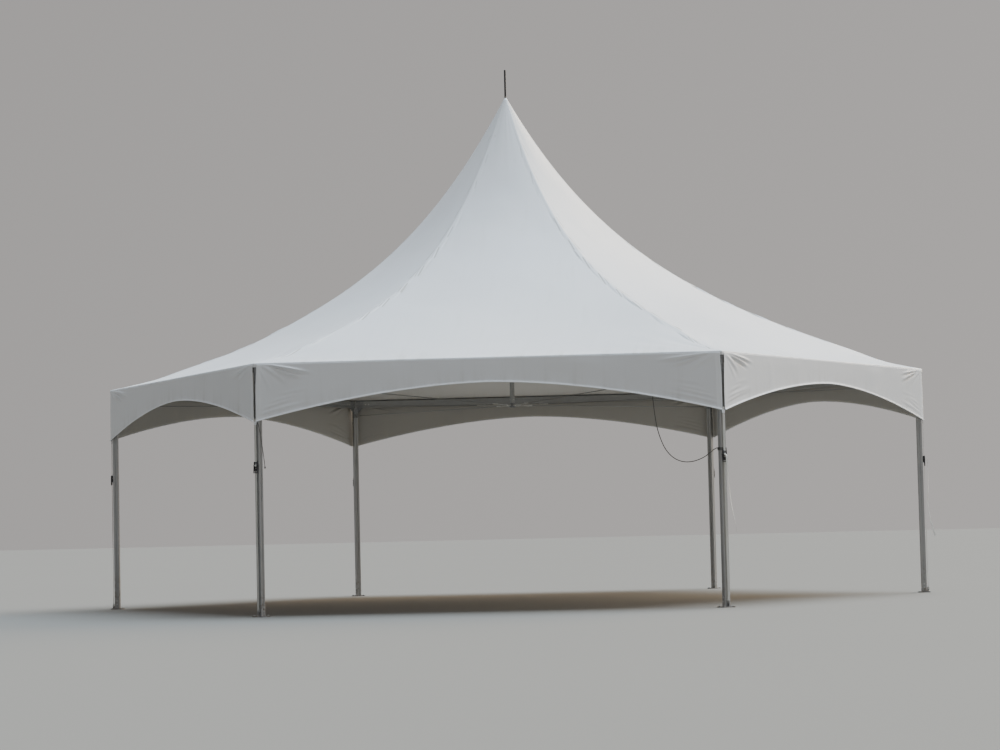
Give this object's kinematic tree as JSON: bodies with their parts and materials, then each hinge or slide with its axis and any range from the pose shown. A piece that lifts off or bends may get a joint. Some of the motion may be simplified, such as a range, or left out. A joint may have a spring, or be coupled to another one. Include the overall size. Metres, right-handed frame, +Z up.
{
  "type": "hexagonal high-peak frame marquee tent",
  "caption": "Open-sided hexagonal frame tent with a tensioned white cover that sweeps up to a flying mast, arched valances, square legs and eave beams.",
  "frame": {"origin": "on the ground, at the centre of the hexagon, under the mast", "axes": "+Z up along the mast; the front side faces -Y; +X points to the right-hand leg"},
  "size_m": [10.2339, 8.8532, 6.63],
  "materials": {
    "cover": "white coated fabric with a soft sheen",
    "frame": "anodised extrusion, satin",
    "fittings": "galvanised steel, matt grey",
    "cable": "stranded steel cable with galvanised ends",
    "webbing": "pale polyester webbing, slightly soiled",
    "rope": "dark braided rope"
  },
  "bodies": {
    "root": {"cover_gore_back_right": "cover", "cover_gore_back": "cover", "cover_gore_back_left": "cover", "cover_gore_front_left": "cover", "cover_gore_front": "cover", "cover_gore_front_right": "cover", "valance_back_right": "cover", "valance_back": "cover", "valance_back_left": "cover", "valance_front_left": "cover", "valance_front": "cover", "valance_front_right": "cover", "eave_beam_back_right": "frame", "eave_beam_back": "frame", "eave_beam_back_left": "frame", "eave_beam_front_left": "frame", "eave_beam_front": "frame", "eave_beam_front_right": "frame", "leg_right": "frame", "leg_back_right": "frame", "leg_back_left": "frame", "leg_left": "frame", "leg_front_left": "frame", "leg_front_right": "frame", "corner_bracket_right": "fittings", "corner_bracket_back_right": "fittings", "corner_bracket_back_left": "fittings", "corner_bracket_left": "fittings", "corner_bracket_front_left": "fittings", "corner_bracket_front_right": "fittings", "base_plate_right": "fittings", "base_plate_back_right": "fittings", "base_plate_back_left": "fittings", "base_plate_left": "fittings", "base_plate_front_left": "fittings", "base_plate_front_right": "fittings", "ratchet_strap_right": "webbing", "ratchet_strap_back_right": "webbing", "ratchet_strap_back_left": "webbing", "ratchet_strap_left": "webbing", "ratchet_strap_front_left": "webbing", "ratchet_strap_front_right": "webbing", "mast": "frame", "finial": "fittings", "mast_foot": "fittings", "stay_cable_right": "cable", "stay_cable_back_right": "cable", "stay_cable_back_left": "cable", "stay_cable_left": "cable", "stay_cable_front_left": "cable", "stay_cable_front_right": "cable", "slack_rope": "rope", "strap_tail_right": "webbing", "strap_tail_front_right": "webbing", "tie_cord_front_left": "rope"}
  },
  "joints": []
}
